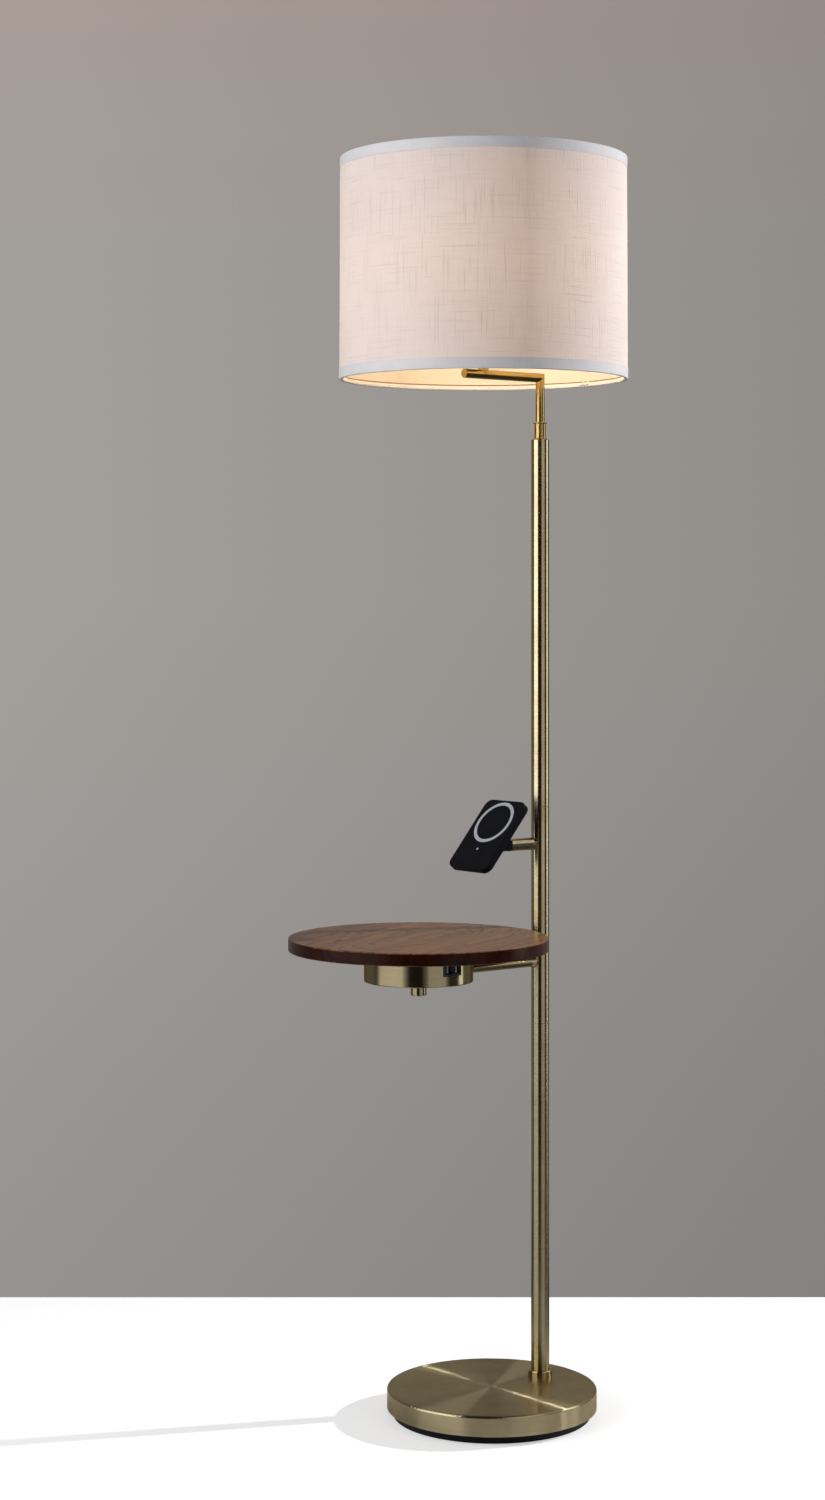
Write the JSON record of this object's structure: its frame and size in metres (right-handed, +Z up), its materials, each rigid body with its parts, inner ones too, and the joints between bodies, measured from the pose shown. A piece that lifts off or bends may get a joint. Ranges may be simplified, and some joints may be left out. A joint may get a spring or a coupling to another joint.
{
  "type": "floor lamp",
  "caption": "Floor lamp with a drum shade on a swivelling angled arm, a round wooden tray on a canister with charging ports, a tilting phone charger pad and a heavy round base.",
  "frame": {"origin": "centre of the round base, on the floor", "axes": "+Z up along the pole, -Y to the front where the tray, the charger and the shade reach out, +X to the side with the charging ports"},
  "size_m": [0.344, 0.4225, 1.498],
  "materials": {
    "antique_brass": "antique brass plating on steel, satin",
    "black_plastic": "fine moulded texture, soft sheen",
    "foam": "closed-cell foam",
    "walnut": "straight walnut grain, satin lacquer",
    "linen": "plain slubbed linen weave",
    "liner": "translucent white sheet",
    "steel": "zinc-plated steel",
    "iron": "rough casting",
    "bulb_glass": "frosted white glass",
    "copper": "enamelled copper wire",
    "pale_plastic": "smooth printed inlay",
    "board": "glass-fibre circuit board",
    "magnet": "nickel-plated magnet"
  },
  "bodies": {
    "stand": {"floor_pad": "foam", "base_foot": "black_plastic", "pan_screws": "steel", "base_weight": "iron", "base_cover": "antique_brass", "cord_gland": "foam", "base_nipple": "steel", "base_nut": "steel", "foot_collar": "antique_brass", "pole_plug": "steel", "lower_pole": "antique_brass", "mid_pole": "antique_brass", "upper_pole": "antique_brass", "pole_joiners": "steel", "top_cap": "antique_brass", "neck_sleeve": "antique_brass", "tray_arm": "antique_brass", "arm_flange": "antique_brass", "arm_nut": "steel", "tray_housing": "antique_brass", "tray_top": "walnut", "mount_plate": "steel", "tray_screws": "steel", "housing_screws": "steel", "port_block": "black_plastic", "port_tongues": "pale_plastic", "power_supply": "black_plastic", "switch_body": "black_plastic", "switch_nut": "steel", "lead_wires": "black_plastic", "charger_boss": "antique_brass", "swivel_screw": "steel"},
    "head": {"lamp_arm": "antique_brass", "stem_collar": "antique_brass", "swivel_retainer": "steel", "socket_post": "antique_brass", "harp_saddle": "steel", "socket_cap": "antique_brass", "socket_shell": "black_plastic", "bulb_cap": "steel", "bulb_glass": "bulb_glass", "harp": "steel", "finial": "antique_brass"},
    "shade": {"shade_cloth": "linen", "shade_liner": "liner", "shade_trims": "linen", "bottom_ring": "steel", "spider_frame": "steel"},
    "knob": {"switch_shaft": "steel", "switch_knob": "antique_brass"},
    "charger_swivel": {"charger_sleeve": "antique_brass", "charger_neck": "black_plastic", "hinge_pin": "steel"},
    "charger_pad": {"charger_back": "black_plastic", "charger_front": "black_plastic", "align_ring": "pale_plastic", "status_light": "pale_plastic", "magnet_ring": "magnet", "charging_coil": "copper", "charger_board": "board"}
  },
  "joints": [
    {"name": "head_swivel", "type": "hinge", "parent": "stand", "child": "head", "pos_m": [0, 0.076, 1.176], "axis": [0, 0, 1], "range_deg": [-160, 160]},
    {"name": "shade_turn", "type": "hinge", "parent": "head", "child": "shade", "pos_m": [0, -0.013, 1.476], "axis": [0, 0, 1], "continuous": true},
    {"name": "knob_turn", "type": "hinge", "parent": "stand", "child": "knob", "pos_m": [0, -0.111, 0.517], "axis": [0, 0, 1], "continuous": true},
    {"name": "charger_turn", "type": "hinge", "parent": "stand", "child": "charger_swivel", "pos_m": [0, 0.041, 0.679], "axis": [0, -1, 0], "range_deg": [-90, 90]},
    {"name": "charger_tilt", "type": "hinge", "parent": "charger_swivel", "child": "charger_pad", "pos_m": [0, 0.01, 0.679], "axis": [-1, 0, 0], "range_deg": [-40, 35]}
  ]
}
